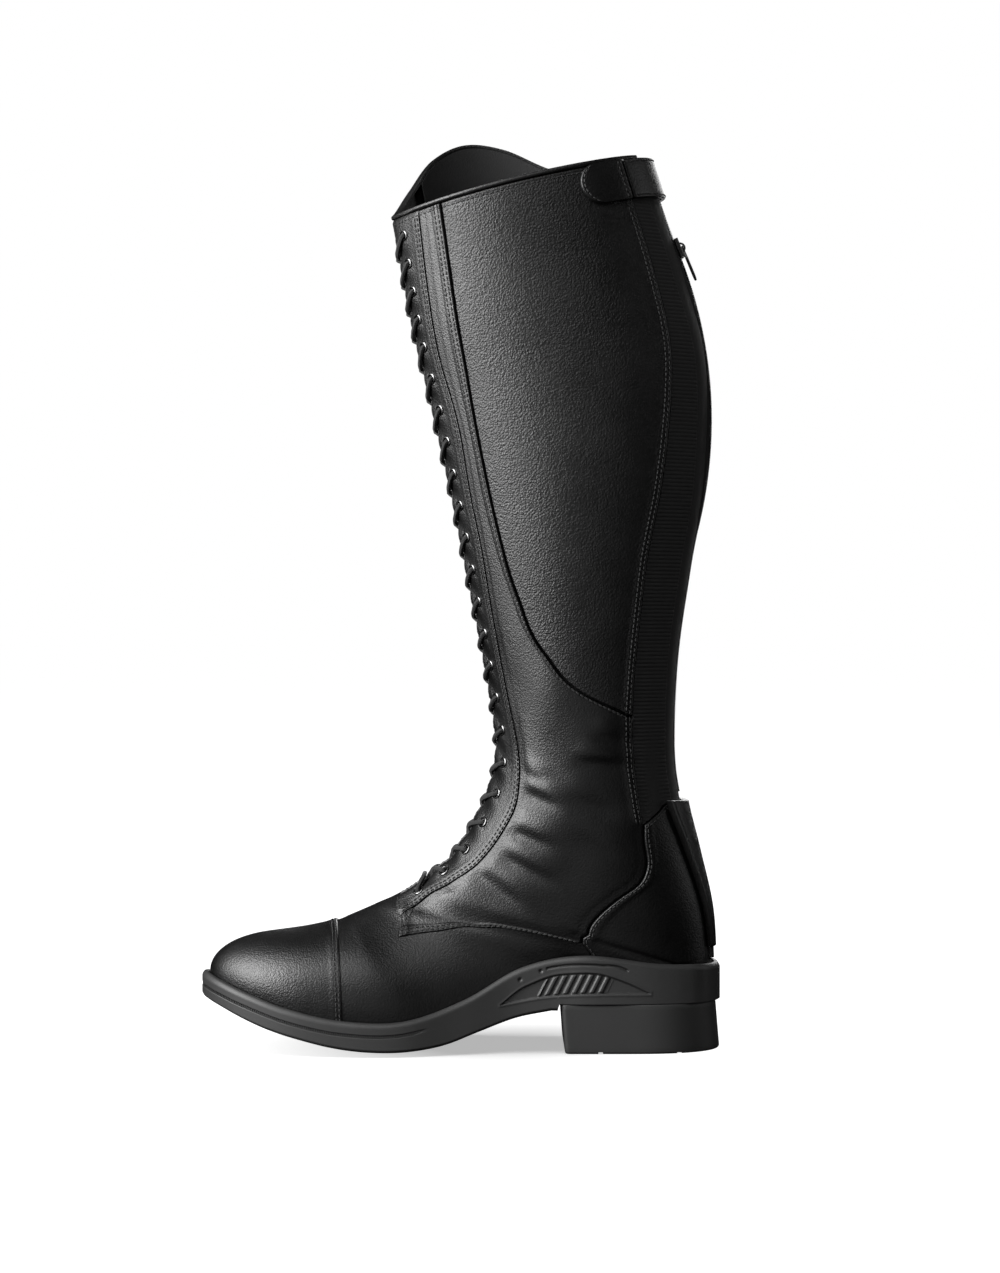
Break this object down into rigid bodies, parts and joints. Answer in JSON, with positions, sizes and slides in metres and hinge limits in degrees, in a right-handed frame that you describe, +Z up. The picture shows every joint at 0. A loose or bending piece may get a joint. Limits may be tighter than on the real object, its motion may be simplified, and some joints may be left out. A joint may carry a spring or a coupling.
{
  "type": "tall laced riding boot",
  "caption": "Tall black leather riding boot for the right foot, laced up the front through eyelets, zipped up the back under a snap strap, with a curved top, elastic gussets and a low heel.",
  "frame": {"origin": "on the ground under the middle of the heel block", "axes": "+Z up along the shaft, -X towards the toe, -Y towards the inner (medial) side"},
  "size_m": [0.2869, 0.1003, 0.5069],
  "materials": {
    "smooth_leather": "black smooth leather, satin",
    "calf_leather": "black fine grained leather, matt",
    "lining_leather": "black lining leather, matt",
    "tongue_leather": "black soft leather, matt",
    "fibre_board": "brown leatherboard, matt",
    "elastic_webbing": "black ribbed elastic",
    "zip_tape_cloth": "black woven tape",
    "lace_cord": "black round braided cord",
    "zip_chain_plastic": "black coil zip",
    "sole_rubber": "black moulded rubber, satin",
    "dark_metal": "dark plated metal"
  },
  "bodies": {
    "boot": {"outsole": "sole_rubber", "heel_block": "sole_rubber", "insole_board": "fibre_board", "footbed": "lining_leather", "shank": "dark_metal", "toe_cap": "smooth_leather", "toe_puff": "fibre_board", "vamp": "smooth_leather", "vamp_lining": "lining_leather", "quarter_medial": "smooth_leather", "quarter_lateral": "smooth_leather", "quarter_lining_medial": "lining_leather", "quarter_lining_lateral": "lining_leather", "facing_medial": "smooth_leather", "facing_lateral": "smooth_leather", "calf_panel_medial": "calf_leather", "calf_panel_lateral": "calf_leather", "shaft_lining_medial": "lining_leather", "shaft_lining_lateral": "lining_leather", "elastic_gusset_medial": "elastic_webbing", "elastic_gusset_lateral": "elastic_webbing", "zip_tape_medial": "zip_tape_cloth", "zip_tape_lateral": "zip_tape_cloth", "zip_chain": "zip_chain_plastic", "zip_guard": "smooth_leather", "heel_back_tab": "smooth_leather", "heel_counter_medial": "smooth_leather", "heel_counter_lateral": "smooth_leather", "counter_stiffener": "fibre_board", "topline_binding_medial": "smooth_leather", "topline_binding_lateral": "smooth_leather", "tongue": "tongue_leather", "lace": "lace_cord", "snap_tab": "smooth_leather", "snap_stud": "dark_metal"},
    "slider": {"zip_slider": "dark_metal"},
    "pull": {"zip_pull": "dark_metal"},
    "strap": {"snap_strap": "smooth_leather", "snap_cap": "dark_metal"}
  },
  "joints": [
    {"name": "zip_slider_travel", "type": "hinge", "parent": "boot", "child": "slider", "pos_m": [-0.2085, 0, 0.3473], "axis": [0, 1, 0], "range_deg": [0, 34]},
    {"name": "zip_pull_swing", "type": "hinge", "parent": "slider", "child": "pull", "pos_m": [0.02349, 0, 0.44339], "axis": [0, -1, 0], "range_deg": [0, 160]},
    {"name": "snap_strap_open", "type": "hinge", "parent": "boot", "child": "strap", "pos_m": [-0.00731, -0.03004, 0.47698], "axis": [0.3034, -0.0059, -0.9528], "range_deg": [0, 140]}
  ]
}
